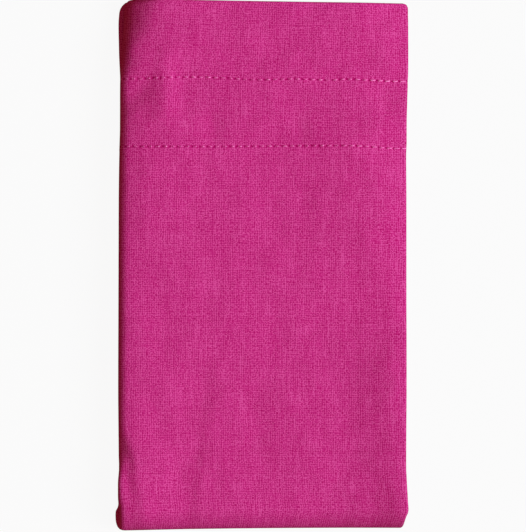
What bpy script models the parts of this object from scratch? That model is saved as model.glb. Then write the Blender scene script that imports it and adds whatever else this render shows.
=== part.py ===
"""Linen bread bag, folded in thirds and then in half into a flat packet.

The bag is two panels of cloth, front and back, joined at the sides and the bottom. Laid flat, its
side thirds are folded in one over the other, and the long strip that this makes is folded once
across, so that the mouth lies on top. The front panel is the outermost layer all the way round,
and the back panel lies inside every fold of it.

Units are metres, +Z is up. The origin is the centre of the packet's box, at the surface that it
lies on. +Y runs to the bag's mouth, and the hem with its stitching faces up there.
"""

import math
from typing import NamedTuple

import bmesh
import bpy
import numpy as np

MM = 0.001

# One panel, with its hem and seam allowances, and the room between two layers of cloth.
CLOTH = 1.05 * MM
GAP = 0.35 * MM
LAYER = CLOTH + GAP

# The packet, before its upper half is puffed up.
WIDTH = 115.8 * MM
LENGTH = 209.2 * MM
HEIGHT = 17.0 * MM

HALF_WIDTH = WIDTH / 2
BEND_RADIUS = HEIGHT / 2
TO_BEND = LENGTH - BEND_RADIUS  # from the mouth edge to the axis of the bend across the packet
BEND_Y = LENGTH / 2 - TO_BEND

# Facets across a flap and across the middle third.
FLAP_CELLS = 4
MIDDLE_CELLS = 9

LINEN_COLOUR = (0.540, 0.035, 0.214, 1.0)
LINEN_ROUGHNESS = 0.92
SHARP_EDGE = math.radians(40)


class Fold(NamedTuple):
    """One long fold, which lays a side third of the bag over its middle third."""

    side: int  # -1 at the left edge of the packet, +1 at the right
    layers: int  # thicknesses of cloth from the middle's face round to the flap's
    flap_short: float  # from the flap's free edge to the packet's other edge
    flap_lag: float  # how far the free edge lies behind the fold at the packet's ends
    cells: int  # facets round the fold


RIGHT_FOLD = Fold(side=+1, layers=4, flap_short=5.2 * MM, flap_lag=1.2 * MM, cells=6)
LEFT_FOLD = Fold(side=-1, layers=6, flap_short=1.6 * MM, flap_lag=2.2 * MM, cells=8)


class Section(NamedTuple):
    """One cross-section of the packet, on the way from the mouth round the bend to the bottom seam."""

    from_mouth: float  # along the packet from the mouth edge, in mm
    turn: float  # degrees: 0 in the upper half, 180 in the lower one, and between them in the bend
    left_in: float  # how far the left edge lies inside the packet's width, in mm
    right_in: float  # the same for the right edge
    skew: float  # how far the right edge lies behind the left, in mm
    crown: float  # how far the upper half's middle is puffed up, in mm


BEND_MM = TO_BEND / MM

SECTIONS = (
    # from_mouth, turn, left_in, right_in, skew, crown
    Section(0.0, 0, 4.6, 1.5, 0.8, 0.5),
    Section(1.5, 0, 4.1, 1.0, 0.8, 0.5),
    Section(4.0, 0, 3.6, 0.6, 0.8, 0.55),
    Section(8.0, 0, 3.1, 0.4, 0.7, 0.6),
    Section(18.0, 0, 2.7, 0.2, 0.6, 0.8),
    Section(30.0, 0, 2.0, 0.4, 0.4, 0.9),
    Section(39.0, 0, 1.5, 0.8, 0.3, 0.9),
    Section(51.0, 0, 1.8, 1.0, 0.2, 0.8),
    Section(66.0, 0, 1.6, 1.3, 0.1, 0.6),
    Section(84.0, 0, 1.1, 1.4, 0.0, 0.3),
    Section(118.0, 0, 1.1, 1.4, 0.0, 0.1),
    Section(154.0, 0, 1.1, 1.4, 0.0, 0.3),
    Section(172.0, 0, 1.2, 1.4, 0.0, 0.6),
    Section(184.0, 0, 1.2, 1.3, 0.0, 0.6),
    Section(192.0, 0, 0.7, 0.6, 0.0, 0.4),
    Section(198.5, 0, 1.3, 0.0, 0.0, 0.1),
    Section(BEND_MM, 0, 1.5, 0.2, 0.0, 0.0),
    Section(BEND_MM, 22.5, 1.8, 0.9, 0.0, 0.0),
    Section(BEND_MM, 45, 1.8, 1.6, 0.0, 0.0),
    Section(BEND_MM, 67.5, 1.5, 2.2, 0.0, 0.0),
    Section(BEND_MM, 90, 1.2, 2.5, 0.0, 0.0),
    Section(BEND_MM, 112.5, 0.8, 2.5, 0.0, 0.0),
    Section(BEND_MM, 135, 0.4, 2.3, 0.0, 0.0),
    Section(BEND_MM, 157.5, 0.1, 2.1, 0.0, 0.0),
    Section(BEND_MM, 180, 0.0, 1.9, 0.0, 0.0),
    Section(188.0, 180, 0.8, 1.7, 0.0, 0.0),
    Section(150.0, 180, 1.1, 1.7, 0.0, 0.0),
    Section(105.0, 180, 1.3, 1.7, 0.0, 0.0),
    Section(60.0, 180, 1.5, 1.6, 0.0, 0.0),
    Section(30.0, 180, 1.6, 1.4, 0.2, 0.0),
    Section(15.0, 180, 1.0, 1.2, 0.3, 0.0),
    Section(6.0, 180, 1.0, 1.3, 0.4, 0.0),
    Section(2.2, 180, 1.9, 1.9, 0.4, 0.0),
)


def clear_scene():
    """Removes every object that the file starts with."""
    for thing in list(bpy.data.objects):
        bpy.data.objects.remove(thing, do_unlink=True)


def linen_material():
    """The dyed linen of both panels."""
    material = bpy.data.materials.new("magenta_linen")
    material.use_nodes = True
    shader = material.node_tree.nodes["Principled BSDF"]
    shader.inputs["Base Color"].default_value = LINEN_COLOUR
    shader.inputs["Roughness"].default_value = LINEN_ROUGHNESS
    shader.inputs["Metallic"].default_value = 0.0
    return material


def fold_radius(fold):
    """Outer radius of a long fold: half of the layers that it wraps and the gaps between them."""
    return (fold.layers * CLOTH + (fold.layers - 1) * GAP) / 2


def flap_and_fold(fold, inset):
    """Stations (x, depth, lag) of a panel's outer face, from a flap's free edge round its fold.

    The face lies this far inset from the front panel's. Depth is measured from the packet's outer
    face. The flap lies as deep as the fold is thick, and from it a half circle leads to the middle
    third, where the last station is.
    """
    radius = fold_radius(fold)
    centre_x = fold.side * (HALF_WIDTH - radius)
    free_x = -fold.side * (HALF_WIDTH - fold.flap_short)
    flap_x = np.linspace(free_x, centre_x, FLAP_CELLS + 1)
    flap_depth = np.full(FLAP_CELLS + 1, 2 * radius - inset)
    flap_lag = np.linspace(fold.flap_lag, 0.0, FLAP_CELLS + 1)
    turn = np.linspace(0.0, math.pi, fold.cells + 1)[1:]
    fold_x = centre_x + fold.side * (radius - inset) * np.sin(turn)
    fold_depth = radius + (radius - inset) * np.cos(turn)
    x = np.concatenate([flap_x, fold_x])
    depth = np.concatenate([flap_depth, fold_depth])
    lag = np.concatenate([flap_lag, np.zeros(fold.cells)])
    return np.column_stack([x, depth, lag])


def folded_outline(inset):
    """Stations (x, depth, lag) right across a panel, from its right free edge to its left one."""
    right = flap_and_fold(RIGHT_FOLD, inset)
    left = flap_and_fold(LEFT_FOLD, inset)[::-1]
    middle_x = np.linspace(right[-1, 0], left[0, 0], MIDDLE_CELLS + 1)[1:-1]
    middle = np.column_stack([middle_x, np.full(len(middle_x), inset), np.zeros(len(middle_x))])
    return np.concatenate([right, middle, left])


def placed(outline, section):
    """Points of one cross-section: the outline, carried to its place along the packet.

    Each point lies its own depth inside the packet's outer face, which runs flat along the upper
    half, round the bend about an axis at half height, and back flat along the lower half. Its x is
    squeezed between the section's two edges, the skew and the flaps' lag move it away from the
    mouth, and the crown lifts it as a parabola across the packet, more the higher it lies.
    """
    x, depth, lag = outline.T
    turn = math.radians(section.turn)
    across = (x + HALF_WIDTH) / WIDTH
    squeezed_x = x + section.left_in * MM * (1 - across) - section.right_in * MM * across
    reach = BEND_RADIUS - depth
    to_bend = 1 - section.from_mouth * MM / TO_BEND
    y = LENGTH / 2 - section.from_mouth * MM - reach * math.sin(turn)
    y = y - section.skew * MM * across - lag * to_bend**2
    z = BEND_RADIUS + reach * math.cos(turn)
    lift = section.crown * MM * (1 - (x / HALF_WIDTH) ** 2)
    z = z + lift * np.clip(z / BEND_RADIUS - 1, 0.0, 1.0)
    return np.column_stack([squeezed_x, y, z])


def folded_face(name, inset):
    """Mesh of a panel's folded outer face: a flat grid whose rows are laid on the sections."""
    outline = folded_outline(inset)
    rows = [placed(outline, section) for section in SECTIONS]
    last_column = len(outline) - 1
    last_row = len(rows) - 1
    bm = bmesh.new()
    bmesh.ops.create_grid(bm, x_segments=last_column, y_segments=last_row, size=0.5)
    for vertex in bm.verts:
        column = round((vertex.co.x + 0.5) * last_column)
        row = round((vertex.co.y + 0.5) * last_row)
        vertex.co = rows[row][column]
    mesh = bpy.data.meshes.new(name)
    bm.to_mesh(mesh)
    bm.free()
    mesh.shade_smooth()
    mesh.set_sharp_from_angle(angle=SHARP_EDGE)
    return mesh


def build_panel(name, inset, material, collection):
    """One panel of the bag: its folded outer face, thickened inwards to the cloth."""
    mesh = folded_face(name, inset)
    mesh.materials.append(material)
    panel = bpy.data.objects.new(name, mesh)
    collection.objects.link(panel)
    cloth = panel.modifiers.new("cloth", "SOLIDIFY")
    cloth.thickness = CLOTH
    cloth.offset = -1.0
    cloth.use_even_offset = True


def build_bag():
    """Both panels of the bag, in a collection of their own."""
    collection = bpy.data.collections.new("Linen bread bag")
    bpy.context.scene.collection.children.link(collection)
    linen = linen_material()
    build_panel("front_panel", 0.0, linen, collection)
    build_panel("back_panel", LAYER, linen, collection)


clear_scene()
build_bag()
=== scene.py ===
"""Looks of a linen bread bag, folded in thirds and then in half into a flat packet.

The bag is two panels of plain-weave linen, and the mouth hem of each is held by two rows of
topstitching. Each panel here is one closed thin sheet that follows the folds of its solid, with
the soft troughs and ridges of the real cloth pressed into it. The stitches lie on it one by one.

Units are metres, +Z is up and +Y runs to the bag's mouth. The folded cloth is described in two
coordinates of its own: s, across the panel, is 0 at the packet's middle and grows to the right on
the upper face, and v, along the panel, is 0 at the mouth edge and grows towards the bottom seam.
"""

import logging
import math
from dataclasses import dataclass
from enum import Enum
from functools import partial

import bpy
import numpy as np
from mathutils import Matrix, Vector


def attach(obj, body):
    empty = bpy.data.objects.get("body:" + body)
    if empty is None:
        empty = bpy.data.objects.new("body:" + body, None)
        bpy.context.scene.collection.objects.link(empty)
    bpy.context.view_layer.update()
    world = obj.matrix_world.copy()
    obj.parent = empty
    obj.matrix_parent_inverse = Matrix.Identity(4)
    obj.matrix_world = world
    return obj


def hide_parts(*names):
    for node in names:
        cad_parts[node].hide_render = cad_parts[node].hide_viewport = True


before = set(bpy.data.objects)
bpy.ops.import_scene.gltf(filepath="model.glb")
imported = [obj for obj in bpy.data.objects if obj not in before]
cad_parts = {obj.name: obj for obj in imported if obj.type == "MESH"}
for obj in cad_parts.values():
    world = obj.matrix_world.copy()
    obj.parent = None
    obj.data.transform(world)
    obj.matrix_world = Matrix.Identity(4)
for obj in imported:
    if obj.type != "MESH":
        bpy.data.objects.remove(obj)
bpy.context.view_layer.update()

Array = np.ndarray
Socket = bpy.types.NodeSocket
Colour = tuple[float, float, float]

WHITE = (1.0, 1.0, 1.0)
BLACK = (0.0, 0.0, 0.0)
MM = 0.001
CLOTH_MAP = "cloth"
THREAD_MAP = "thread"
ROW_MAP = "rows"

log = logging.getLogger("bread_bag")


class Side(Enum):
    """The two long edges of the packet, as the sign of x there."""

    LEFT = -1
    RIGHT = 1


class Relief(Enum):
    """Whether a crease stands up from the cloth or sinks into it."""

    RIDGE = 1
    TROUGH = -1


class Face(Enum):
    """The two faces of a panel: the outer one is nearer to the packet's outside."""

    OUTER = 1
    INNER = -1


# --- Small formulas ---


def smooth_step(value: Array) -> Array:
    """Ramp from 0 at 0 to 1 at 1 that starts and ends level: 3 t squared minus 2 t cubed."""
    t = np.clip(value, 0.0, 1.0)
    return t * t * (3.0 - 2.0 * t)


def eased(at: Array, knots: Array, values: Array) -> Array:
    """Smooth curve through a table's rows that never swings past them.

    Between two rows it is the cubic with their heights and slopes. A row's slope is the harmonic
    mean of the rises on its two sides, or 0 where these differ in sign and in the end rows.

    Args:
        at: where the curve is read.
        knots: the rows' places, growing.
        values: the rows' heights.

    Returns:
        The curve's height at each place.
    """
    rise = np.diff(values) / np.diff(knots)
    product = rise[:-1] * rise[1:]
    total = np.where(product > 0.0, rise[:-1] + rise[1:], 1.0)
    slope = np.concatenate([[0.0], np.where(product > 0.0, 2.0 * product / total, 0.0), [0.0]])
    row = np.clip(np.searchsorted(knots, at, side="right") - 1, 0, len(knots) - 2)
    step = knots[row + 1] - knots[row]
    t = np.clip((at - knots[row]) / step, 0.0, 1.0)
    start = (values[row] * (1.0 + 2.0 * t) + slope[row] * step * t) * (1.0 - t) ** 2
    end = (values[row + 1] * (3.0 - 2.0 * t) - slope[row + 1] * step * (1.0 - t)) * t**2
    return start + end


def rounding(turn: Array, squareness: Array | float) -> tuple[Array, Array]:
    """Point of a rounded square in the direction of each angle.

    It is the sine and cosine, both over one number: their absolute values are each raised to the
    squareness and added, and the number is that sum's root of the same degree.

    Args:
        turn: the angle from straight up.
        squareness: the power: 2 gives a circle, more a squarer form, and less a leaner one.

    Returns:
        How far out and how far up the point lies, both 1 at most.
    """
    sine, cosine = np.sin(turn), np.cos(turn)
    reach = (np.abs(sine) ** squareness + np.abs(cosine) ** squareness) ** (1.0 / squareness)
    return sine / reach, cosine / reach


def graded(*stretches: tuple[float, int]) -> Array:
    """Stations along a line, with its own spacing in each stretch.

    Args:
        *stretches: pairs of a stretch's start and its number of cells. The last pair's start is
            the line's end, and its number isn't read.

    Returns:
        The stations, each once.
    """
    pieces = [
        np.linspace(start, end, cells, endpoint=False)
        for (start, cells), (end, _) in zip(stretches[:-1], stretches[1:])
    ]
    return np.concatenate([*pieces, [stretches[-1][0]]])


# --- Creases ---


@dataclass(frozen=True)
class Crease:
    """One soft ridge or trough in the packet's upper half.

    It runs straight from start to end, each given as its place across the packet from the middle
    and its distance from the mouth. Its height falls off as a bell across it, with a width of its
    own on each side, and as a bell past its ends. All are in millimetres.
    """

    kind: Relief
    start: tuple[float, float]
    end: tuple[float, float]
    height: float
    left_width: float
    right_width: float

    def lift(self, x: Array, from_mouth: Array) -> Array:
        """Height that the crease adds at each point.

        Args:
            x: place across the packet.
            from_mouth: distance from the mouth.

        Returns:
            The height, negative in a trough.
        """
        start, end = np.array(self.start) * MM, np.array(self.end) * MM
        run = end - start
        length = np.hypot(*run)
        direction = run / length
        over, down = x - start[0], from_mouth - start[1]
        along = over * direction[0] + down * direction[1]
        across = over * direction[1] - down * direction[0]
        width = np.where(across < 0.0, self.left_width, self.right_width) * MM
        soft = (self.left_width + self.right_width) / 2 * MM
        past = np.maximum(np.maximum(-along, along - length), 0.0)
        bell = np.exp(-((across / width) ** 2) - (past / soft) ** 2)
        return self.kind.value * self.height * MM * bell


ridge = partial(Crease, Relief.RIDGE)
trough = partial(Crease, Relief.TROUGH)

CREASES = (
    # By the mouth: it stands up in the middle and falls away to both sides.
    ridge((-37.1, 4.1), (-37.1, 18.3), 0.84, 8.0, 11.0),
    ridge((37.9, 0.1), (36.3, 14.3), 0.62, 14.0, 17.0),
    trough((62.0, 0.0), (62.0, 4.0), 2.80, 18.0, 18.0),
    ridge((49.5, 13.0), (49.5, 23.0), 0.55, 6.0, 6.0),
    trough((33.2, 15.9), (39.5, 22.2), 0.48, 5.0, 6.0),
    ridge((11.1, 23.8), (11.8, 28.5), 0.41, 4.5, 6.0),
    ridge((-50.5, 19.9), (-49.7, 26.2), 0.90, 4.5, 5.5),
    # The pucker at the first row of stitches, and the dent at the other end of the row.
    ridge((-39.1, 23.8), (-39.1, 42.0), 0.80, 5.5, 5.0),
    trough((-56.0, 42.0), (-45.0, 31.7), 1.15, 5.0, 5.5),
    trough((-30.8, 32.5), (-29.2, 41.2), 0.61, 5.0, 6.5),
    trough((47.4, 37.2), (49.7, 39.2), 0.55, 6.0, 6.0),
    # The channel above the second row, drawn into shallow waves.
    trough((-48.1, 48.3), (-45.0, 55.4), 0.37, 5.0, 5.0),
    trough((-19.7, 36.4), (-18.1, 44.3), 0.24, 7.0, 7.0),
    trough((-19.1, 48.0), (-19.1, 54.6), 0.60, 4.2, 3.8),
    trough((3.2, 49.0), (3.2, 54.6), 0.15, 3.8, 3.8),
    trough((14.2, 48.6), (14.6, 55.0), 0.45, 4.5, 3.4),
    # Below the hem.
    ridge((-44.2, 51.4), (-44.2, 79.1), 0.60, 7.0, 12.0),
    trough((0.0, 65.2), (4.0, 81.0), 0.22, 14.0, 14.0),
    ridge((35.5, 57.7), (36.3, 64.1), 0.44, 5.0, 5.0),
    ridge((41.8, 59.3), (45.8, 92.0), 1.97, 22.0, 13.0),
    # The lower part, towards the bend.
    ridge((-50.6, 173.0), (-48.0, 197.4), 0.90, 4.0, 11.0),
    trough((-23.3, 152.1), (-26.4, 177.7), 0.68, 9.0, 4.2),
    trough((-26.8, 182.5), (-29.6, 202.2), 0.62, 9.0, 3.4),
    trough((-3.9, 152.0), (-3.2, 173.0), 0.43, 6.5, 5.5),
    ridge((11.1, 154.0), (10.3, 199.4), 0.25, 9.0, 9.0),
    ridge((23.7, 154.0), (22.1, 199.4), 0.50, 9.0, 9.0),
    trough((-56.0, 175.0), (-52.5, 184.2), 0.80, 3.6, 2.1),
    trough((-54.0, 187.5), (-48.2, 203.6), 0.38, 3.6, 2.2),
    ridge((57.5, 201.0), (60.0, 205.0), 1.00, 6.0, 6.0),
    ridge((55.3, 145.0), (55.3, 199.4), 2.20, 25.0, 25.0),
    ridge((54.5, 148.0), (54.9, 199.4), 2.20, 12.0, 25.0),
)


@dataclass(frozen=True)
class Unevenness:
    """The low waviness of soft cloth that has been folded by hand.

    It is a sum of plane waves, each with its own heading, length and phase. Shorter waves are
    lower, in step with their length, and height is the root mean square of the sum.
    """

    seed: int = 5
    height: float = 0.13 * MM
    longest: float = 34.0 * MM
    shortest: float = 6.0 * MM
    waves: int = 44

    def lift(self, x: Array, from_mouth: Array) -> Array:
        """Height of the sum of waves.

        Args:
            x: place across the packet.
            from_mouth: distance from the mouth.

        Returns:
            The height at each point.
        """
        draw = np.random.default_rng(self.seed)
        length = np.geomspace(self.longest, self.shortest, self.waves)
        heading = draw.uniform(0.0, math.pi, self.waves)
        phase = draw.uniform(0.0, 2.0 * math.pi, self.waves)
        size = length / self.longest
        size *= self.height * math.sqrt(2.0) / np.linalg.norm(size)
        total = np.zeros_like(x)
        for k in range(self.waves):
            way = np.cos(heading[k]) * x + np.sin(heading[k]) * from_mouth
            total += size[k] * np.sin(2.0 * math.pi * way / length[k] + phase[k])
        return total


# --- The folded packet ---


@dataclass(frozen=True)
class LongFold:
    """One long fold, which lays a side third of the bag over its middle third.

    layers is how many layers of cloth are in it. flap_short is from the flap's free edge to the
    packet's other edge, and flap_lag is how far that edge lies behind the fold at the packet's
    ends.
    """

    side: Side
    layers: int
    flap_short: float
    flap_lag: float


@dataclass(frozen=True)
class Station:
    """One cross-section of the packet: its place and how its edges and height differ there.

    v is along the front panel's outer face from the mouth. left_in and right_in are how far the
    edges lie inside the packet's width, and skew is how far the right edge lies behind the left.
    crown is how far the middle is puffed up. shoulder is how far the left edge has sunk, and
    shoulder_width how far in from the edge that reaches. corner_out is how far the left edge is
    moved towards the bend: the bend's left end bulges with it, and below 0 it lifts the mouth's.
    All are in millimetres, apart from left_square, the left fold's squareness.
    """

    v: float
    left_in: float
    right_in: float
    skew: float
    crown: float = 0.0
    shoulder: float = 0.0
    shoulder_width: float = 7.0
    corner_out: float = 0.0
    left_square: float = 2.0


STATIONS = (
    # v, left_in, right_in, skew, crown, shoulder, shoulder_width, corner_out, left_square
    Station(0.0, 6.4, 1.9, 1.35, 0.5, 8.2, 13.5, -0.6),
    Station(0.4, 5.3, 1.1, 1.35, 0.5, 8.2, 13.5, -0.6),
    Station(1.1, 4.1, 0.45, 1.35, 0.5, 8.2, 13.5, -0.6),
    Station(2.4, 3.5, 0.28, 1.3, 0.5, 8.1, 13.5, -0.6),
    Station(4.2, 3.35, 0.3, 1.3, 0.5, 7.9, 13.3, -0.55),
    Station(8.0, 3.3, 0.22, 1.1, 0.5, 7.2, 13.0, -0.45),
    Station(14.0, 3.0, 0.22, 0.9, 0.6, 4.9, 12.8, -0.3),
    Station(20.0, 2.7, 0.22, 0.8, 0.6, 2.8, 12.0, -0.15),
    Station(26.0, 2.2, 0.25, 0.7, 0.6, 2.3, 12.0),
    Station(32.0, 1.75, 0.4, 0.6, 0.6, 2.1, 14.0),
    Station(39.5, 1.7, 0.65, 0.4, 0.55, 1.9, 13.5),
    Station(50.0, 1.7, 0.9, 0.3, 0.5, 1.9, 13.0),
    Station(63.0, 1.3, 0.9, 0.1, 0.3, 1.8, 13.0),
    Station(79.0, 1.1, 0.8, 0.0, 0.1, 1.6, 13.0),
    Station(118.0, 1.0, 0.8, 0.0, 0.0, 1.0, 10.0),
    Station(154.0, 0.9, 0.83, 0.0, 0.0, 0.8, 9.0),
    Station(172.0, 1.05, 0.95, 0.0, 0.0, 0.35, 9.0, 0.0, 2.3),
    Station(181.0, 1.1, 1.0, 0.0, 0.0, 1.3, 9.0),
    Station(185.5, 1.3, 1.0, 0.0, -0.05, 0.0, 8.0, 0.05, 2.6),
    Station(188.5, 1.1, 0.85, 0.0, -0.1, -0.2, 7.0, 0.1, 3.6),
    Station(192.0, 0.85, 0.68, -0.05, -0.15, -0.5, 5.0, 0.15, 3.2),
    Station(197.0, 0.85, 0.4, -0.1, -0.25, -0.2, 6.0, 0.3, 3.0),
    Station(199.8, 1.05, 0.28, -0.2, -0.4, 0.6, 8.0, 0.4, 2.8),
    Station(201.5, 1.35, 0.1, -0.25, -0.5, 0.8, 9.0, 0.5, 2.8),
    Station(203.1, 1.35, 0.12, -0.3, 0.0, 0.0, 7.0, 0.6, 2.8),
    Station(204.9, 1.35, 0.75, -0.35, 0.0, 0.0, 7.0, 0.65, 2.8),
    Station(207.0, 1.4, 1.3, -0.35, 0.0, 0.0, 7.0, 0.7, 3.0),
    Station(209.3, 1.4, 1.7, -0.35, 0.0, 0.0, 7.0, 0.75, 3.2),
    Station(211.5, 1.1, 2.1, -0.35, 0.0, 0.0, 7.0, 0.8, 3.6),
    Station(213.5, 0.9, 2.6, -0.35, 0.0, 0.0, 7.0, 0.9, 3.6),
    Station(215.5, 0.3, 3.0, -0.35, 0.0, 0.0, 7.0, 1.0, 3.6),
    Station(217.5, -0.1, 3.0, -0.35, 0.0, 0.0, 7.0, 1.1, 3.6),
    Station(220.0, -0.35, 2.9, -0.3, 0.0, 0.0, 7.0, 1.1, 3.6),
    Station(222.2, -0.32, 2.6, -0.25, 0.0, 0.0, 7.0, 0.8, 3.6),
    Station(224.2, 0.2, 2.3, -0.15, 0.0, 0.0, 7.0, 0.45, 3.6),
    Station(225.8, 0.52, 2.0, -0.1, 0.0, 0.0, 7.0, 0.2, 2.8),
    Station(227.6, 0.72, 1.8, 0.0, 0.0, 0.0, 7.0, 0.1),
    Station(238.0, 0.95, 1.6, 0.0),
    Station(278.0, 1.1, 1.5, 0.0),
    Station(323.0, 1.3, 1.5, 0.0),
    Station(368.0, 1.5, 1.5, 0.0),
    Station(394.0, 1.56, 1.4, 0.1),
    Station(403.0, 1.15, 1.3, 0.2),
    Station(412.0, 0.85, 1.2, 0.3),
    Station(419.0, 0.75, 1.2, 0.3),
    Station(423.2, 1.0, 1.25, 0.4),
    Station(424.7, 1.25, 1.35, 0.4),
    Station(425.7, 1.6, 1.5, 0.4),
    Station(426.6, 2.15, 1.9, 0.4),
    Station(427.7, 3.1, 2.8, 0.4),
)


@dataclass(frozen=True)
class Packet:
    """The folded packet's form: it carries a point of a flat panel to its place in the folds.

    A depth is measured inwards from the front panel's outer face. cloth is the thickness of one
    layer of the solids, and gap the room between two. bottom_short is how far the bottom seam
    ends short of the mouth edge above it. right_square and bend_square are the right
    fold's and the bend's squareness, the power of their rounding: 2 gives a half circle, and more
    a pressed fold with a flatter side. bend_early is how far before its axis the bend sets in,
    and bend_run the length over which the flat cloth is drawn along for it.
    """

    width: float = 115.8 * MM
    length: float = 209.2 * MM
    height: float = 17.0 * MM
    cloth: float = 1.05 * MM
    gap: float = 0.35 * MM
    bottom_short: float = 0.4 * MM
    right_square: float = 14.0
    bend_square: float = 1.7
    bend_early: float = 1.0 * MM
    bend_run: float = 70.0 * MM
    left: LongFold = LongFold(Side.LEFT, layers=6, flap_short=1.6 * MM, flap_lag=2.2 * MM)
    right: LongFold = LongFold(Side.RIGHT, layers=4, flap_short=5.2 * MM, flap_lag=1.2 * MM)
    stations: tuple[Station, ...] = STATIONS
    creases: tuple[Crease, ...] = CREASES
    unevenness: Unevenness = Unevenness()

    @property
    def bend_radius(self) -> float:
        """Outer radius of the bend across the packet."""
        return self.height / 2

    @property
    def to_bend(self) -> float:
        """From the mouth edge to the axis of the bend."""
        return self.length - self.bend_radius

    @property
    def to_seam(self) -> float:
        """From the mouth edge, round the bend, to the bottom seam."""
        return self.bend_end + self.to_bend - self.bottom_short

    @property
    def bend_end(self) -> float:
        """From the mouth edge, round the bend, to where the lower half lies flat."""
        return self.to_bend + math.pi * self.bend_radius

    @property
    def layer(self) -> float:
        """From one layer of cloth to the next."""
        return self.cloth + self.gap

    def radius(self, fold: LongFold) -> float:
        """Outer radius of a long fold, half of the layers and gaps in it."""
        return (fold.layers * self.cloth + (fold.layers - 1) * self.gap) / 2

    def fold_start(self, fold: LongFold) -> float:
        """Distance from the packet's middle to where a long fold starts to turn."""
        return self.width / 2 - self.radius(fold)

    def flap_start(self, fold: LongFold) -> float:
        """Distance along the cloth from the packet's middle to where a flap lies flat again."""
        return self.fold_start(fold) + math.pi * self.radius(fold)

    def free_edge(self, fold: LongFold) -> float:
        """Distance along the cloth from the packet's middle to a flap's free edge."""
        return self.flap_start(fold) + self.flap_length(fold)

    def flap_length(self, fold: LongFold) -> float:
        """Length of a flap from its fold to its free edge."""
        return self.fold_start(fold) + self.width / 2 - fold.flap_short

    def past_folds(self, s: Array) -> Array:
        """Distance along the cloth past where the nearer long fold starts, negative before it."""
        return np.maximum(-s - self.fold_start(self.left), s - self.fold_start(self.right))

    def from_sides(self, s: Array) -> Array:
        """Distance along the cloth from the nearer side seam."""
        return np.minimum(s + self.free_edge(self.left), self.free_edge(self.right) - s)

    def from_seams(self, s: Array, v: Array) -> Array:
        """Distance along the cloth from the nearest seam, at the sides or the bottom."""
        return np.minimum(self.from_sides(s), self.to_seam - v)

    def outline(self, s: Array, v: Array, depth: Array) -> tuple[Array, Array, Array]:
        """Cross-section of the long folds.

        The middle third is straight. Round a fold, the point turns about the fold's centre on a
        rounded square. Then the flap runs back, as deep as the fold is thick.

        Args:
            s: place across the panel.
            v: place along the panel.
            depth: depth below the front panel's outer face.

        Returns:
            x, the depth below the packet's face, and how far the flap lags behind.
        """
        x, low, lag = s.copy(), depth.copy(), np.zeros_like(s)
        for fold, square in (
            (self.left, self.column("left_square", v, 1.0)), (self.right, self.right_square)
        ):
            out = fold.side.value * s
            start, radius = self.fold_start(fold), self.radius(fold)
            turn = np.clip((out - start) / radius, 0.0, math.pi)
            along = np.maximum(out - self.flap_start(fold), 0.0)
            outward, upward = rounding(turn, square)
            beyond = out > start
            folded_x = fold.side.value * (start + (radius - depth) * outward - along)
            x = np.where(beyond, folded_x, x)
            low = np.where(beyond, radius - (radius - depth) * upward, low)
            lag = np.where(beyond, fold.flap_lag * along / self.flap_length(fold), lag)
        return x, low, lag

    def column(self, name: str, v: Array, unit: float = MM) -> Array:
        """A column of the stations, read smoothly along the cloth.

        Args:
            name: the column's field name.
            v: place along the panel.
            unit: what the column's numbers are given in.

        Returns:
            The column's value at each place.
        """
        knots = np.array([station.v for station in self.stations]) * MM
        values = np.array([getattr(station, name) for station in self.stations]) * unit
        return eased(v, knots, values)

    def place(self, s: Array, v: Array, depth: Array) -> Array:
        """Folded place of each point of the cloth.

        The cross-section of the long folds runs along the upper half, round the bend, and back
        along the lower half. The bend is half of a rounded square. Then x is squeezed between the
        station's edges, and z is stretched by the packet's lift. y is moved back by the skew, by
        the lag, which fades with the square of the way left to the bend, and by corner_out, which
        fades with the cube of the way left to the right edge.

        Args:
            s: place across the panel.
            v: place along the panel.
            depth: depth below the front panel's outer face.

        Returns:
            The points, with x, y and z in the last axis.
        """
        x, low, lag = self.outline(s, v, depth)
        across = x / self.width + 0.5
        left_in, right_in = self.column("left_in", v), self.column("right_in", v)
        squeezed_x = x + left_in * (1.0 - across) - right_in * across

        past_bend = np.maximum(v - self.bend_end, 0.0)
        from_mouth = np.minimum(v, self.to_bend) - past_bend
        turn = np.clip((v - self.to_bend) / self.bend_radius, 0.0, math.pi)
        reach = self.bend_radius - low
        outward, upward = rounding(turn, self.bend_square)
        near_bend = smooth_step(1.0 - (self.to_bend - from_mouth) / self.bend_run)
        y = self.length / 2 - from_mouth - reach * outward
        y = y + self.bend_early * (1.0 - outward) * near_bend
        lagging = lag * (1.0 - from_mouth / self.to_bend) ** 2
        y = y - self.column("skew", v) * across - lagging
        y = y - self.column("corner_out", v) * (1.0 - np.clip(across, 0.0, 1.0)) ** 3

        z = self.bend_radius + reach * upward
        z = z * (1.0 + self.lift(squeezed_x, np.minimum(from_mouth, self.to_bend)) / self.height)
        return np.stack([squeezed_x, y, z], axis=-1)

    def lift(self, x: Array, from_mouth: Array) -> Array:
        """How far the packet's upper face stands above its plain height.

        It is the crown, less the sunk left shoulder, plus the creases and the waviness. The
        crown's profile across the packet is 1 less the fourth power of the place across, which
        is 0 at the middle and 1 at the edges. The shoulder deepens towards the edge with the
        square of the way into it.

        Args:
            x: place across the packet.
            from_mouth: distance from the mouth, along the upper half.

        Returns:
            The height, negative where the face is sunk.
        """
        lift = self.column("crown", from_mouth) * (1.0 - np.clip(2.0 * x / self.width, -1.0, 1.0) ** 4)
        from_left = x + self.width / 2 - self.column("left_in", from_mouth)
        inward = np.clip(1.0 - from_left / self.column("shoulder_width", from_mouth), 0.0, 1.0)
        lift = lift - self.column("shoulder", from_mouth) * inward**2
        for crease in self.creases:
            lift = lift + crease.lift(x, from_mouth)
        return lift + self.unevenness.lift(x, from_mouth)


# --- The hem ---


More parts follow.
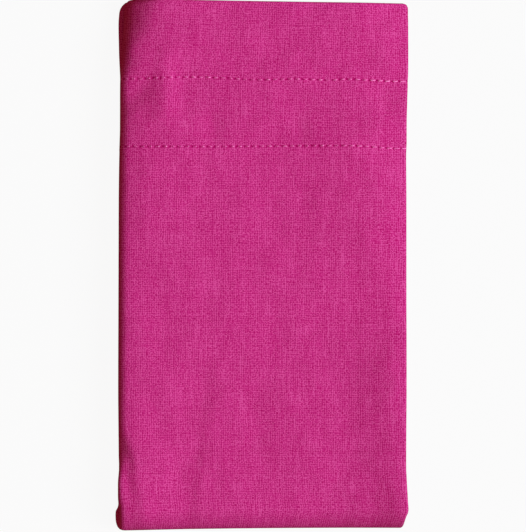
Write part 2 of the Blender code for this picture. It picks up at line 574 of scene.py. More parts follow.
@dataclass(frozen=True)
class StitchRow:
    """One row of topstitching: its distance from the mouth edge, where it wanders and its stitches.

    first_hole is the s of the needle hole that the others are counted from. wander holds pairs of
    s and the row's shift towards the bottom seam, and shown pairs of s and how much of each
    stitch's thread shows there. These pairs are in millimetres.
    """

    from_mouth: float
    first_hole: float
    wander: tuple[tuple[float, float], ...]
    shown: tuple[tuple[float, float], ...]

    def line(self, s: Array) -> Array:
        """The row's v at each s, on a smooth curve through its wander."""
        return self.from_mouth + eased(s, *(np.array(self.wander) * MM).T)

    def shown_length(self, s: Array) -> Array:
        """The length of thread that shows in the stitch at each s."""
        return eased(s, *(np.array(self.shown) * MM).T)


@dataclass(frozen=True)
class Hem:
    """The turned-in mouth hem: its depth, its two rows of stitches and how they draw the cloth in.

    turned_in is the hem's depth from the mouth edge, and step how much the doubled cloth stands
    above the single cloth, past a slope of step_width. groove and groove_width are the shallow
    channel that a row draws, and pitch is from stitch to stitch.
    """

    turned_in: float = 59.6 * MM
    step: float = 0.16 * MM
    step_width: float = 2.2 * MM
    groove: float = 0.13 * MM
    groove_width: float = 1.1 * MM
    pitch: float = 3.0 * MM
    rows: tuple[StitchRow, ...] = (
        StitchRow(
            from_mouth=31.2 * MM,
            first_hole=-50.6 * MM,
            wander=(
                (-180, 0.0), (-50, 0.0), (-44, -0.4), (-30, -0.85), (-15, -0.5), (-3, 0.15),
                (12, -0.25), (27, 0.1), (33, -0.3), (42, 0.05), (52, 0.45), (180, 0.0),
            ),
            shown=(
                (-180, 1.8), (-70, 1.8), (-56, 0.7), (-44, 0.9), (-38, 1.6), (-24, 1.7),
                (-12, 1.2), (12, 1.3), (30, 1.6), (44, 2.2), (56, 2.3), (180, 2.0),
            ),
        ),
        StitchRow(
            from_mouth=57.8 * MM,
            first_hole=-49.4 * MM,
            wander=((-180, 0.0), (-20, 0.1), (3, -0.1), (34, -0.3), (45, 0.25), (54, 0.8), (180, 0.3)),
            shown=(
                (-180, 1.8), (-70, 1.8), (-56, 0.5), (-40, 0.8), (-30, 0.7), (-12, 1.2),
                (22, 1.1), (33, 1.5), (40, 2.2), (56, 2.4), (180, 2.0),
            ),
        ),
    )

    def row_places(self, s: Array, v: Array) -> tuple[Array, Array]:
        """Place of each point along the nearest row of stitches and away from it, in pitches.

        Args:
            s: place across the panel.
            v: place along the panel.

        Returns:
            The place along the row, a whole number at each needle hole, and the distance from it.
        """
        away = np.stack([v - row.line(s) for row in self.rows])
        along = np.stack([s - row.first_hole for row in self.rows])
        nearest = np.argmin(np.abs(away), axis=0)[None]
        return (
            np.take_along_axis(along, nearest, axis=0)[0] / self.pitch,
            np.take_along_axis(away, nearest, axis=0)[0] / self.pitch,
        )

    def doubled(self, v: Array) -> Array:
        """1 in the hem, where the cloth is doubled, and 0 below it, with a smooth step between."""
        return 1.0 - smooth_step((v - self.turned_in) / self.step_width + 0.5)

    def relief(self, s: Array, v: Array) -> Array:
        """Height that the hem adds: a level step, less a smooth groove along each row."""
        away = self.row_places(s, v)[1] * self.pitch / self.groove_width
        return self.step * self.doubled(v) - self.groove * np.exp(-(away**2))


# --- Meshes ---


def quads(number: Array) -> Array:
    """Four-sided faces of one or more grids of point numbers, each going along its row first."""
    corners = (number[..., :-1, :-1], number[..., :-1, 1:], number[..., 1:, 1:], number[..., 1:, :-1])
    return np.stack(corners, axis=-1).reshape(-1, 4)


def mesh_object(name: str, points: Array, faces: list[list[int]]) -> bpy.types.Object:
    """Makes a mesh object at the origin.

    Args:
        name: its name.
        points: its points, one a row.
        faces: its faces, each a list of point numbers.

    Returns:
        The object.
    """
    mesh = bpy.data.meshes.new(name)
    mesh.from_pydata(points.tolist(), [], faces)
    thing = bpy.data.objects.new(name, mesh)
    bpy.context.scene.collection.objects.link(thing)
    return thing


def bag_piece(name: str, points: Array, faces: list[list[int]]) -> bpy.types.Object:
    """Makes a smooth piece of the bag, and hangs it on the bag's one body.

    Args:
        name: its name.
        points: its points, one a row.
        faces: its faces, each a list of point numbers.

    Returns:
        The piece.
    """
    piece = mesh_object(name, points, faces)
    piece.data.validate()
    piece.data.shade_smooth()
    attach(piece, "root")
    return piece


def give_map(mesh: bpy.types.Mesh, name: str, coordinates: Array) -> None:
    """Gives a mesh a UV map from one pair of coordinates a point.

    Args:
        mesh: the mesh.
        name: the map's name.
        coordinates: the two coordinates of each point.
    """
    corners = np.empty(len(mesh.loops), dtype=np.int32)
    mesh.loops.foreach_get("vertex_index", corners)
    layer = mesh.uv_layers.new(name=name)
    layer.data.foreach_set("uv", coordinates[corners].astype(np.float32).ravel())


@dataclass(frozen=True)
class Grading:
    """How many cells a panel's grid has in each stretch, across and along."""

    flap: int
    fold: int
    middle: int
    edge: int
    header: int
    row: int
    channel: int
    below_hem: int
    belly: int
    to_bend: int
    bend: int
    past_bend: int
    lower: int
    bottom: int


@dataclass
class Panel:
    """One panel of the bag, as a closed thin sheet that follows its solid's folds.

    inset is how deep its outer face lies in the packet. thickness and hem_thickness are the
    cloth's, below and in the hem. edge_radius rounds its four edges, and seam_pull moves the
    sheet towards the other panel within seam_width of the side and bottom seams, to close them.
    beside_row and past_hem are how far the close grid reaches beside a row of stitches and past
    the second row, over the hem's step, and belly is the part of the packet's length with the
    widest grid. corner_run is the length of the closer grid past the bend and above the bottom
    seam, and corner_pull how far the grid's lines are pulled to the right fold's corners, over
    its radius. relief_reach is how far round a fold the hem's relief shows, over the left
    fold's radius.
    """

    name: str
    packet: Packet
    hem: Hem
    inset: float
    grading: Grading
    seam_pull: float
    thickness: float = 0.88 * MM
    hem_thickness: float = 1.0 * MM
    edge_radius: float = 0.55 * MM
    seam_width: float = 4.0 * MM
    beside_row: float = 1.5 * MM
    past_hem: float = 3.75 * MM
    belly: tuple[float, float] = (0.4, 0.75)
    corner_run: float = 12.0 * MM
    corner_pull: float = 0.18
    relief_reach: float = 2.6

    def stations_across(self) -> Array:
        """Places of the grid's lines across the panel, closest round the folds.

        Round the square right fold they are pulled to its corners, by the sine of four times
        the turn.

        Returns:
            The places, growing from the left free edge to the right one.
        """
        packet, g = self.packet, self.grading
        left, right = packet.left, packet.right
        left_edge, right_edge = -packet.free_edge(left), packet.free_edge(right)
        stations = graded(
            (left_edge, g.edge),
            (left_edge + self.edge_radius, g.flap),
            (-packet.flap_start(left), g.fold),
            (-packet.fold_start(left), g.middle),
            (packet.fold_start(right), g.fold),
            (packet.flap_start(right), g.flap),
            (right_edge - self.edge_radius, g.edge),
            (right_edge, 0),
        )
        radius = packet.radius(right)
        turn = np.clip((stations - packet.fold_start(right)) / radius, 0.0, math.pi)
        return stations + self.corner_pull * radius * np.sin(4.0 * turn)

    def stations_along(self) -> Array:
        """Places of the grid's lines along the panel, closest at the stitches and the bend.

        Returns:
            The places, growing from the mouth to the bottom seam.
        """
        packet, g, beside = self.packet, self.grading, self.beside_row
        first, second = (row.from_mouth for row in self.hem.rows)
        belly_start, belly_end = (packet.length * part for part in self.belly)
        return graded(
            (0.0, g.edge),
            (self.edge_radius, g.header),
            (first - beside, g.row),
            (first + beside, g.channel),
            (second - beside, g.row),
            (second + self.past_hem, g.below_hem),
            (belly_start, g.belly),
            (belly_end, g.to_bend),
            (packet.to_bend, g.bend),
            (packet.bend_end, g.past_bend),
            (packet.bend_end + self.corner_run, g.lower),
            (packet.to_seam - self.corner_run, g.bottom),
            (packet.to_seam - self.edge_radius, g.edge),
            (packet.to_seam, 0),
        )

    def relief(self, s: Array, v: Array) -> Array:
        """Height of the hem's relief, which fades out in the flaps, pressed between layers."""
        reach = self.relief_reach * self.packet.radius(self.packet.left)
        return self.hem.relief(s, v) * (1.0 - smooth_step(self.packet.past_folds(s) / reach))

    def middle_depth(self, s: Array, v: Array) -> Array:
        """Depth of the middle of the cloth's thickness, drawn towards the other panel at seams."""
        pull = self.seam_pull * (1.0 - smooth_step(self.packet.from_seams(s, v) / self.seam_width))
        return self.inset + self.packet.cloth / 2 - self.relief(s, v) + pull

    def half_thickness(self, s: Array, v: Array) -> Array:
        """Half of the cloth's thickness, rounded off as a quarter circle at each edge.

        Args:
            s: place across the panel.
            v: place along the panel.

        Returns:
            Half of the thickness, 0 at the edges.
        """
        thickness = self.thickness + (self.hem_thickness - self.thickness) * self.hem.doubled(v)
        rounded = thickness / 2
        for distance in (self.packet.from_sides(s), np.minimum(v, self.packet.to_seam - v)):
            short = 1.0 - np.clip(distance / self.edge_radius, 0.0, 1.0)
            rounded = rounded * np.sqrt(np.maximum(1.0 - short**2, 0.0))
        return rounded

    def build(self) -> bpy.types.Object:
        """Builds the closed sheet: an outer and an inner grid that share their border points.

        Returns:
            The panel's object.
        """
        s, v = np.meshgrid(self.stations_across(), self.stations_along())
        middle, half = self.middle_depth(s, v), self.half_thickness(s, v)
        outer = self.packet.place(s, v, middle - half).reshape(-1, 3)
        inner = self.packet.place(s, v, middle + half).reshape(-1, 3)

        rows, columns = s.shape
        number = np.arange(rows * columns).reshape(rows, columns)
        inside = np.zeros((rows, columns), dtype=bool)
        inside[1:-1, 1:-1] = True
        inner_number = number.copy()
        inner_number[inside] = rows * columns + np.arange(inside.sum())

        points = np.concatenate([outer, inner[inside.ravel()]])
        faces = np.concatenate([quads(number)[:, ::-1], quads(inner_number)])
        flat = np.stack([s, v], axis=-1).reshape(-1, 2)
        flat = np.concatenate([flat, flat[inside.ravel()]])

        panel = bag_piece(self.name, points, faces.tolist())
        give_map(panel.data, CLOTH_MAP, flat)
        give_map(panel.data, ROW_MAP, np.stack(self.hem.row_places(*flat.T), axis=-1))
        return panel


@dataclass
class Topstitching:
    """The hem's stitches on one panel, each a short arched length of twisted thread.

    A stitch rises from one needle hole and dips into the next. radius is the thread's, and facing
    the face of the panel that the stitches lie on. rise is how high a stitch arches at the
    left and the right edge of the packet, where the thread lies deeper or looser, and slant how
    far its right end lies above its left one there. dip is how deep its ends go. pressed is how
    deep a stitch is pressed in where the cloth goes round a long fold. spread is how much the
    stitches differ by chance, and end_taper how much the thread narrows at its ends.
    side_margin keeps the first and last stitch off the side seams. rings and sides are how many
    points a stitch's mesh has along and round the thread.
    """

    name: str
    panel: Panel
    seed: int
    facing: Face = Face.OUTER
    radius: float = 0.21 * MM
    rise: tuple[float, float] = (0.16 * MM, 0.18 * MM)
    slant: tuple[float, float] = (-0.20 * MM, 0.22 * MM)
    pressed: float = 0.12 * MM
    dip: float = 0.26 * MM
    spread: float = 0.18
    end_taper: float = 0.86
    side_margin: float = 3.0 * MM
    rings: int = 9
    sides: int = 8

    def build(self) -> bpy.types.Object:
        """Builds every stitch of both rows in one mesh.

        Stitch, ring and side are the three axes of one array of points. Neighbouring rings are
        joined by quads, and the first and last ring of a stitch are closed by a cap.

        Returns:
            The stitching's object.
        """
        hem, packet = self.panel.hem, self.panel.packet
        draw = np.random.default_rng(self.seed)
        left_end = -packet.free_edge(packet.left) + self.side_margin
        right_end = packet.free_edge(packet.right) - self.side_margin
        parts = []
        for row in hem.rows:
            first = math.ceil((left_end - row.first_hole) / hem.pitch)
            last = math.floor((right_end - row.first_hole) / hem.pitch)
            hole = row.first_hole + np.arange(first, last) * hem.pitch
            parts.append(self.thread_points(row, hole, draw))
        points = np.concatenate(parts)
        count = len(points)
        number = np.arange(count * self.rings * self.sides).reshape(count, self.rings, self.sides)
        faces = quads(np.concatenate([number, number[:, :, :1]], axis=2))
        caps = np.concatenate([number[:, 0, :], number[:, -1, ::-1]])
        if self.facing is Face.OUTER:
            faces = faces[:, ::-1]
        else:
            caps = caps[:, ::-1]
        faces = faces.tolist() + caps.tolist()
        stitching = bag_piece(self.name, points.reshape(-1, 3), faces)
        turn = np.broadcast_to(np.arange(self.sides) / self.sides, (count, self.rings, self.sides))
        along = np.linspace(0.0, 1.0, self.rings)[None, :, None] + np.arange(count)[:, None, None]
        along = np.broadcast_to(along, turn.shape)
        give_map(stitching.data, THREAD_MAP, np.stack([along, turn], axis=-1).reshape(-1, 2))
        return stitching

    def thread_points(self, row: StitchRow, hole: Array, draw: np.random.Generator) -> Array:
        """Points of one row's stitches.

        Along a stitch the thread's centre rises as half a cosine wave and dips at both ends with
        the sixth power of the way from its middle. The points lie round it on a circle, which
        narrows towards the ends in the same way.

        Args:
            row: the row.
            hole: the s of each stitch's first needle hole.
            draw: gives each stitch its own length, rise, slant and thickness.

        Returns:
            The points, with stitch, ring and side as the first axes.
        """
        packet, pitch = self.panel.packet, self.panel.hem.pitch
        loose = np.clip(hole / packet.width + 0.5, 0.0, 1.0)[:, None, None]
        vary = 1.0 + self.spread * draw.standard_normal((4, len(hole)))[:, :, None, None]
        length = row.shown_length(hole)[:, None, None] * vary[0]
        rise = (self.rise[0] + (self.rise[1] - self.rise[0]) * loose) * vary[1]
        slant = self.slant[0] + (self.slant[1] - self.slant[0]) * loose
        slant = slant + (vary[2] - 1.0) * self.radius * 2.0
        radius = self.radius * vary[3]

        t = np.linspace(-1.0, 1.0, self.rings)[None, :, None]
        angle = (np.arange(self.sides) * 2.0 * math.pi / self.sides)[None, None, :]
        slim = np.sqrt(1.0 - self.end_taper * t**6)
        s = hole[:, None, None] + pitch / 2 + length / 2 * t + np.zeros_like(angle)
        v = row.line(s) - slant / 2 * t + radius * slim * np.cos(angle)
        free = 1.0 - smooth_step(packet.past_folds(s) / pitch + 0.5)
        lift = (rise + self.pressed) * free * np.cos(t * math.pi / 2) - self.pressed
        lift = lift - self.dip * t**6 + radius * slim * np.sin(angle)
        middle = self.panel.middle_depth(s, v)
        depth = middle - self.facing.value * (self.panel.half_thickness(s, v) + lift)
        return packet.place(s, v, depth)


# --- Finishes ---


@dataclass(frozen=True)
class Term:
    """A value that a material's nodes work out, which plain arithmetic takes on to further nodes."""

    sheet: "NodeSheet"
    socket: Socket

    def __add__(self, other: "Term | float") -> "Term":
        """The sum of both."""
        return self.sheet.math("ADD", self, other)

    def __sub__(self, other: "Term | float") -> "Term":
        """This one less the other."""
        return self.sheet.math("SUBTRACT", self, other)

    def __rsub__(self, other: float) -> "Term":
        """A plain number less this one."""
        return self.sheet.math("SUBTRACT", other, self)

    def __mul__(self, other: "Term | float") -> "Term":
        """The product of both."""
        return self.sheet.math("MULTIPLY", self, other)

    def __truediv__(self, other: float) -> "Term":
        """This one over a plain number."""
        return self.sheet.math("DIVIDE", self, other)


class NodeSheet:
    """Lays out one material's nodes, so that a finish reads as short formulas."""

    def __init__(self, name: str) -> None:
        """Makes the material, and keeps the sockets of its Principled shader.

        Args:
            name: the material's name.
        """
        self.material = bpy.data.materials.new(name)
        self.material.use_nodes = True
        self.tree = self.material.node_tree
        self.sockets = self.tree.nodes["Principled BSDF"].inputs

    def plug(self, value: Term | float | Colour, into: Socket) -> None:
        """Links a worked-out value into a socket, or sets a plain one there.

        Args:
            value: the value.
            into: the socket.
        """
        if isinstance(value, Term):
            self.tree.links.new(value.socket, into)
        else:
            into.default_value = (*value, 1.0) if isinstance(value, tuple) else value

    def dress(self, **values: Term | float | Colour) -> None:
        """Plugs values into the shader's sockets, named with _ for each space."""
        for name, value in values.items():
            self.plug(value, self.sockets[name.replace("_", " ")])

    def node(
        self, kind: str, output: int | str, inputs: dict[int | str, Term | float], **settings: str
    ) -> Term:
        """Adds a node.

        Args:
            kind: its type, without the words that all shader nodes start with.
            output: the number or name of the output that is wanted.
            inputs: values for its inputs, by number or name.
            **settings: its other settings.

        Returns:
            That output.
        """
        node = self.tree.nodes.new("ShaderNode" + kind)
        for name, setting in settings.items():
            setattr(node, name, setting)
        for name, value in inputs.items():
            self.plug(value, node.inputs[name])
        return Term(self, node.outputs[output])

    def math(self, operation: str, *values: Term | float) -> Term:
        """Result of one Math node."""
        return self.node("Math", 0, dict(enumerate(values)), operation=operation)

    def map_pair(self, name: str) -> tuple[Term, Term]:
        """The two coordinates of the piece's UV map of that name."""
        both = {"Vector": self.node("UVMap", 0, {}, uv_map=name)}
        return self.node("SeparateXYZ", 0, both), self.node("SeparateXYZ", 1, both)

    def vector(self, x: Term, y: Term) -> Term:
        """A vector from two numbers."""
        return self.node("CombineXYZ", 0, {"X": x, "Y": y})

    def noise(self, x: Term, y: Term, waves: float = 1.0, detail: float = 0.0) -> Term:
        """Smooth noise from 0 to 1 in two coordinates, with that many waves to a unit of them."""
        inputs = {"Vector": self.vector(x, y), "Scale": waves, "Detail": detail}
        return self.node("TexNoise", "Fac", inputs, noise_dimensions="2D")

    def chance(self, value: Term) -> Term:
        """A number from 0 to 1 that each input value has of its own."""
        return self.node("TexWhiteNoise", "Value", {"W": value}, noise_dimensions="1D")

    def pair_chance(self, first: Term, second: Term) -> Term:
        """A number from 0 to 1 that each pair of input values has of its own."""
        pair = {"Vector": self.vector(first, second)}
        return self.node("TexWhiteNoise", "Value", pair, noise_dimensions="2D")

    def ramp(self, value: Term, *colours: Colour) -> Term:
        """Adds a ramp of colours, spaced evenly from 0 to 1.

        Args:
            value: the place on the ramp.
            *colours: the ramp's colours.

        Returns:
            The colour there.
        """
        node = self.tree.nodes.new("ShaderNodeValToRGB")
        elements = node.color_ramp.elements
        while len(elements) < len(colours):
            elements.new(0.5)
        for k, colour in enumerate(colours):
            elements[k].position = k / (len(colours) - 1)
            elements[k].color = (*colour, 1.0)
        self.plug(value, node.inputs["Fac"])
        return Term(self, node.outputs["Color"])

    def bump(self, height: Term, distance: float, strength: float) -> None:
        """Presses a height, in units of distance, into the shader's normal."""
        inputs = {"Strength": strength, "Distance": distance, "Height": height}
        self.dress(Normal=self.node("Bump", "Normal", inputs))


@dataclass(frozen=True)
class ThreadSystem:
    """One of the two thread systems of the weave: the warp or the weft.

    own_share is how much the threads differ in tone, slub_share how much each one changes along
    its length, over stretches of slub_length. thick_share is how much lighter the rare thick
    stretches are, which are thick_length long. pair_gap_shade is how much painted shade darkens
    the wider gap after every second thread, and pair_length the stretches over which that gap
    opens and closes.
    pair_swing is how strongly its noise does so, and thick_from how high its noise must be for a
    thick stretch. pitch is from thread to thread. waver is how far the threads stray from
    straight, in stray_waves bends a metre, one over stray_stretch times as long across them.
    slub_apart, thick_apart and pair_apart are the steps through each noise from thread to thread
    or pair to pair, so large that neighbours have nothing in common. seed keeps the threads'
    chances apart from the other system's.
    """

    own_share: float
    slub_share: float
    slub_length: float
    thick_share: float
    thick_length: float
    pair_gap_shade: float
    pair_length: float
    seed: float
    pitch: float = 0.45 * MM
    waver: float = 0.22 * MM
    stray_waves: float = 220.0
    stray_stretch: float = 0.6
    thick_from: float = 0.60
    pair_swing: float = 4.0
    slub_apart: float = 7.31
    thick_apart: float = 3.77
    pair_apart: float = 5.17

    def lay(self, nodes: NodeSheet, across: Term, along: Term) -> tuple[Term, Term, Term]:
        """Lays the threads side by side.

        Each thread's number is the whole part of the place across, over the pitch. Its hump is 1
        at its middle and 0 at its sides, as a parabola. Its tone is its own chance number, plus
        smooth noise along it and the part of a longer noise that stands above thick_from, less a
        cosine that is highest in the gap between pairs of threads, as painted shade in that gap.

        Args:
            nodes: the material's node sheet.
            across: place across the threads, in metres.
            along: place along them, in metres.

        Returns:
            The thread's number, its hump and its tone, with the gaps' painted shade.
        """
        stray = nodes.noise(across * self.stray_stretch, along, self.stray_waves)
        place = (across + stray * (2.0 * self.waver)) / self.pitch
        number = nodes.math("FLOOR", place)
        off_middle = nodes.math("FRACT", place) * 2.0 - 1.0
        hump = 1.0 - off_middle * off_middle

        own = nodes.chance(number + self.seed)
        slub = nodes.noise(number * self.slub_apart, along / self.slub_length)
        thick = nodes.noise(number * self.thick_apart, along / self.thick_length)
        pair = nodes.math("FLOOR", place * 0.5)
        tightness = nodes.noise(pair * self.pair_apart, along / self.pair_length)
        tone = (own - 0.5) * self.own_share + (slub - 0.5) * self.slub_share
        tone = tone + nodes.math("MAXIMUM", thick - self.thick_from, 0.0) * self.thick_share
        # Painted shade in the wider gap between pairs of threads.
        gap = nodes.math("COSINE", place * math.pi) * (1.0 - tightness * self.pair_swing)
        return number, hump, tone + gap * self.pair_gap_shade


@dataclass(frozen=True)
class LinenFinish:
    """Magenta plain-weave linen.

    The warp runs along the bag and the weft across it. deep, mid and light are the ramp's colours:
    deep is reached in the darkest tones and in the painted shade of the hollows between threads and
    of the needle holes, mid is the cloth's and light that of thick slubs. The shares are how much
    the cloth's tone differs from crossing to crossing, between neighbours at a crossing, in mottles
    and in streaks along the warp, and hump_light_hollow_shade is how much painted light lifts the
    threads' humps and painted shade darkens the hollows between them. Mottles and streaks have
    their number of waves a metre, and streaks are longer than wide by one over streak_stretch.
    weave_height is how high the upper thread stands at a crossing, and weave_strength how much
    of that the light shows. hole_length and hole_width are the reach of the stitches' needle
    holes, in stitch pitches, hole_painted_shade how much painted shade darkens them and
    hole_depth how deep they are, in heights of the weave.
    """

    warp: ThreadSystem = ThreadSystem(
        own_share=0.10, slub_share=0.26, slub_length=1.8 * MM, thick_share=1.5,
        thick_length=9.0 * MM, pair_gap_shade=0.24, pair_length=4.6 * MM, seed=11.0,
    )
    weft: ThreadSystem = ThreadSystem(
        own_share=0.08, slub_share=0.18, slub_length=1.6 * MM, thick_share=1.0,
        thick_length=5.0 * MM, pair_gap_shade=0.18, pair_length=3.2 * MM, seed=57.0,
    )
    deep: Colour = (0.384, 0.0018, 0.108)
    mid: Colour = (0.542, 0.0222, 0.207)
    light: Colour = (0.692, 0.0820, 0.333)
    crossing_share: float = 0.12
    contrast_share: float = 0.55
    mottle_share: float = 0.11
    mottle_waves: float = 160.0
    streak_share: float = 0.18
    streak_waves: float = 300.0
    streak_stretch: float = 0.16
    # Painted light on the threads' humps and painted shade in the hollows between them.
    hump_light_hollow_shade: float = 0.24
    roughness: float = 0.86
    specular: float = 0.05
    weave_height: float = 0.10 * MM
    weave_strength: float = 0.6
    hole_length: float = 0.13
    hole_width: float = 0.12
    # Painted shade in the stitches' needle holes.
    hole_painted_shade: float = 1.3
    hole_depth: float = 4.0

    def weave(self, nodes: NodeSheet, s: Term, v: Term) -> tuple[Term, Term]:
        """Plain weave: where the two threads' numbers add up to an even number, the weft is up.

        The upper thread shows its own hump and tone, and the lower one lends half of its tone.
        Every crossing has a chance tone of its own besides.

        Args:
            nodes: the material's node sheet.
            s: place across the panel.
            v: place along the panel.

        Returns:
            The tone, about 0, and the height, from 0 to 1.
        """
        warp, warp_hump, warp_tone = self.warp.lay(nodes, s, v)
        weft, weft_hump, weft_tone = self.weft.lay(nodes, v, s)
        warp_up = nodes.math("FRACT", (warp + weft) * 0.5) * 2.0
        weft_up = 1.0 - warp_up
        tone = (warp_tone * (warp_up + 1.0) + weft_tone * (weft_up + 1.0)) * 0.5
        tone = tone + (nodes.pair_chance(warp, weft) - 0.5) * self.crossing_share
        contrast = self.contrast(nodes, warp, weft) + self.contrast(nodes, weft, warp)
        warp_high = warp_hump * warp_up * (weft_hump + 1.0)
        weft_high = weft_hump * weft_up * (warp_hump + 1.0)
        return tone + contrast * self.contrast_share, (warp_high + weft_high) * 0.5

    def contrast(self, nodes: NodeSheet, number: Term, other: Term) -> Term:
        """Chance tone where a thread crosses each pair of neighbours, with opposite signs in the two.

        Args:
            nodes: the material's node sheet.
            number: the neighbours' thread number, whose pairs are an even one and the next.
            other: the number of the thread that crosses them.

        Returns:
            The tone, from -0.5 to 0.5.
        """
        half = number * 0.5
        sign = 1.0 - nodes.math("FRACT", half) * 4.0
        return (nodes.pair_chance(nodes.math("FLOOR", half), other) - 0.5) * sign

    def holes(self, nodes: NodeSheet) -> Term:
        """Needle holes, as a bell about each hole's centre.

        Args:
            nodes: the material's node sheet.

        Returns:
            1 in a hole, and 0 away from it.
        """
        along, away = nodes.map_pair(ROW_MAP)
        beside = (along - nodes.math("ROUND", along)) / self.hole_length
        away = away / self.hole_width
        return nodes.math("EXPONENT", (beside * beside + away * away) * -1.0)

    def build(self) -> bpy.types.Material:
        """Builds the material.

        Returns:
            The linen.
        """
        nodes = NodeSheet("magenta_linen")
        s, v = nodes.map_pair(CLOTH_MAP)
        tone, height = self.weave(nodes, s, v)
        hole = self.holes(nodes)
        mottle = nodes.noise(s, v, self.mottle_waves, detail=2.0) - 0.5
        streaks = nodes.noise(s, v * self.streak_stretch, self.streak_waves, detail=1.0) - 0.5
        value = tone + mottle * self.mottle_share + streaks * self.streak_share
        # Painted light on the threads' humps and painted shade in the hollows between them.
        # Painted shade in the stitches' needle holes.
        value = value + (height - 0.5) * self.hump_light_hollow_shade + 0.5 - hole * self.hole_painted_shade
        nodes.dress(
            Base_Color=nodes.ramp(value, self.deep, self.mid, self.light),
            Roughness=self.roughness,
            Specular_IOR_Level=self.specular,
        )
        nodes.bump(height - hole * self.hole_depth, self.weave_height, self.weave_strength)
        return nodes.material


@dataclass(frozen=True)
class ThreadFinish:
    """Pink sewing thread of two twisted plies, a little glossy.

    plies is how many lie round the thread, and twists how many of them show along each stitch.
    ply_shade_share is how much of its tone is the painted shade between the plies and painted
    light on them, and the rest is each stitch's own.
    """

    dark: Colour = (0.74, 0.060, 0.36)
    light: Colour = (1.0, 0.28, 0.66)
    roughness: float = 0.45
    specular: float = 0.35
    plies: float = 2.0
    twists: float = 3.0
    ply_shade_share: float = 0.55
    ply_height: float = 0.05 * MM
    ply_strength: float = 0.7

    def build(self) -> bpy.types.Material:
        """Builds the material: a sine wave winds round the thread, with painted shade between the
        plies and painted light on them.

        Returns:
            The thread's material.
        """
        nodes = NodeSheet("pink_thread")
        along, turn = nodes.map_pair(THREAD_MAP)
        winding = along * self.twists + turn * self.plies
        # Painted shade in the grooves between the plies and painted light on their crowns.
        ply = nodes.math("SINE", winding * (2.0 * math.pi)) * 0.5 + 0.5
        own = nodes.chance(nodes.math("FLOOR", along))
        value = ply * self.ply_shade_share + own * (1.0 - self.ply_shade_share)
        nodes.dress(
            Base_Color=nodes.ramp(value, self.dark, self.light),
            Roughness=self.roughness,
            Specular_IOR_Level=self.specular,
        )
        nodes.bump(ply, self.ply_height, self.ply_strength)
        return nodes.material


# --- The studio ---


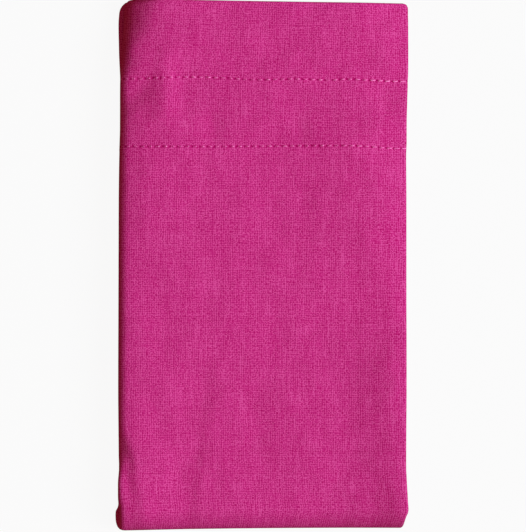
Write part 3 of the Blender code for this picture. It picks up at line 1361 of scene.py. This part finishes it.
@dataclass
class Studio:
    """Plain pale floor and surround, one large soft light from the right, and the camera above.

    The floor and the surround are seen, but throw no light on the cloth, so that the fold on the
    unlit side stays as deep in tone as in a room with one window. view_height is how much of the
    packet's upper face the picture's height spans, and surround_lines how many grid lines the
    surround has round and up.
    """

    packet: Packet
    view_height: float = 209.95 * MM
    view_centre: tuple[float, float] = (0.4 * MM, -0.5 * MM)
    camera_distance: float = 1.9
    floor_reach: float = 3.0
    floor_white: Colour = (0.03, 0.03, 0.03)
    floor_glow: float = 0.93
    surround_radius: float = 2.9
    surround_lines: tuple[int, int] = (49, 13)
    surround_glow: float = 0.95
    key_size: float = 1.56
    key_distance: float = 2.6
    key_elevation: float = math.radians(46.0)
    key_azimuth: float = math.radians(-6.0)
    key_power: float = 96.0
    key_colour: Colour = (0.82, 0.94, 1.0)
    top_place: tuple[float, float, float] = (0.1, 0.1, 1.6)
    top_size: float = 1.2
    top_power: float = 1.6
    ambient: Colour = (0.23, 0.088, 0.047)

    def build(self) -> None:
        """Sets up the whole studio."""
        self.build_floor()
        self.build_surround()
        self.build_lights()
        self.build_camera()

    def stage_piece(self, name: str, points: Array, faces: Array, base: Colour, glow: float) -> None:
        """Adds a glowing piece that the camera sees, but that throws no light or shadow on the cloth.

        Args:
            name: the piece's name.
            points: its points, one a row.
            faces: its faces, as rows of point numbers.
            base: its own colour.
            glow: the strength of its white glow.
        """
        nodes = NodeSheet("pale_" + name)
        nodes.dress(Base_Color=base, Roughness=1.0, Specular_IOR_Level=0.0)
        nodes.dress(Emission_Color=WHITE, Emission_Strength=glow)
        thing = mesh_object(name, points, faces.tolist())
        thing.data.materials.append(nodes.material)
        thing.visible_diffuse = False
        thing.visible_glossy = False
        thing.visible_transmission = False
        thing.visible_shadow = False

    def build_floor(self) -> None:
        """A large pale floor, which takes the packet's soft shadow."""
        corners = np.array([[-1, -1, 0], [1, -1, 0], [1, 1, 0], [-1, 1, 0]]) * self.floor_reach
        self.stage_piece("floor", corners, np.arange(4)[None], self.floor_white, self.floor_glow)

    def build_surround(self) -> None:
        """A pale round wall and ceiling, a half ball about the packet."""
        ends = (2.0 * math.pi, math.pi / 2)
        lines = (np.linspace(0.0, end, count) for end, count in zip(ends, self.surround_lines))
        turn, rise = np.meshgrid(*lines)
        points = np.stack([np.cos(turn) * np.cos(rise), np.sin(turn) * np.cos(rise), np.sin(rise)], axis=-1)
        points = self.surround_radius * points.reshape(-1, 3)
        faces = quads(np.arange(turn.size).reshape(turn.shape))[:, ::-1]
        self.stage_piece("surround", points, faces, BLACK, self.surround_glow)

    def build_lights(self) -> None:
        """The window-like light from the right, a weak one above and a warm dim room."""
        up, out = math.sin(self.key_elevation), math.cos(self.key_elevation)
        way = Vector((out * math.cos(self.key_azimuth), out * math.sin(self.key_azimuth), up))
        self.area_light("window", way * self.key_distance, self.key_size, self.key_power, self.key_colour)
        self.area_light("ceiling", Vector(self.top_place), self.top_size, self.top_power, WHITE)
        world = bpy.data.worlds.new("room")
        world.use_nodes = True
        background = world.node_tree.nodes["Background"]
        background.inputs["Color"].default_value = (*self.ambient, 1.0)
        background.inputs["Strength"].default_value = 1.0
        bpy.context.scene.world = world

    def area_light(self, name: str, place: Vector, size: float, power: float, colour: Colour) -> None:
        """Adds a square light, turned to the packet.

        Args:
            name: its name.
            place: where it hangs.
            size: the length of its side.
            power: its power in watts.
            colour: its colour.
        """
        light = bpy.data.lights.new(name, "AREA")
        light.shape = "SQUARE"
        light.size = size
        light.energy = power
        light.color = colour
        lamp = bpy.data.objects.new(name, light)
        lamp.location = place
        lamp.rotation_euler = (-place).to_track_quat("-Z", "Y").to_euler()
        bpy.context.scene.collection.objects.link(lamp)

    def build_camera(self) -> None:
        """A long lens straight above, with the mouth at the top of the picture."""
        data = bpy.data.cameras.new("camera")
        data.sensor_width = 36.0
        data.lens = data.sensor_width * self.camera_distance / self.view_height
        data.clip_end = 10.0
        camera = bpy.data.objects.new("camera", data)
        x, y = self.view_centre
        camera.location = (x, y, self.packet.height + self.camera_distance)
        bpy.context.scene.collection.objects.link(camera)
        bpy.context.scene.camera = camera
        bpy.context.scene.view_settings.view_transform = "Standard"


# --- The bag ---


@dataclass
class BreadBag:
    """The folded bag: its front and back panel and the stitches of their hems.

    panel_cut is a panel's flat size, which is not used, and seam_gap what stays open between the panels at
    the seams.
    """

    packet: Packet
    hem: Hem
    linen: bpy.types.Material
    thread: bpy.types.Material
    front_grid: Grading = Grading(
        flap=13, fold=24, middle=126, edge=3, header=26, row=8, channel=22, below_hem=16,
        belly=36, to_bend=34, bend=26, past_bend=10, lower=20, bottom=14,
    )
    back_grid: Grading = Grading(
        flap=10, fold=14, middle=36, edge=3, header=12, row=4, channel=10, below_hem=8,
        belly=14, to_bend=14, bend=18, past_bend=6, lower=12, bottom=10,
    )
    panel_cut: tuple[float, float] = (348.0 * MM, 484.0 * MM)
    seam_gap: float = 0.06 * MM

    def build(self) -> None:
        """Builds every piece of the bag, and hides the model's own panels."""
        packet, hem = self.packet, self.hem
        closing = (packet.layer - Panel.thickness - self.seam_gap) / 2
        front = Panel("front_panel_cloth", packet, hem, 0.0, self.front_grid, closing)
        back = Panel("back_panel_cloth", packet, hem, packet.layer, self.back_grid, -closing)
        for panel, node, stitches in (
            (front, "front_panel", Topstitching("front_topstitching", front, seed=21)),
            (back, "back_panel", Topstitching("back_topstitching", back, seed=34, facing=Face.INNER)),
        ):
            cloth = panel.build()
            cloth.data.materials.append(self.linen)
            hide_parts(node)
            sewn = stitches.build()
            sewn.data.materials.append(self.thread)
            for piece in (cloth, sewn):
                log.info("%s: %d faces", piece.name, len(piece.data.polygons))


def main() -> None:
    logging.basicConfig(level=logging.INFO, format="%(name)s: %(message)s")
    packet = Packet()
    Studio(packet).build()
    BreadBag(packet, Hem(), LinenFinish().build(), ThreadFinish().build()).build()


if __name__ == "__main__":
    main()
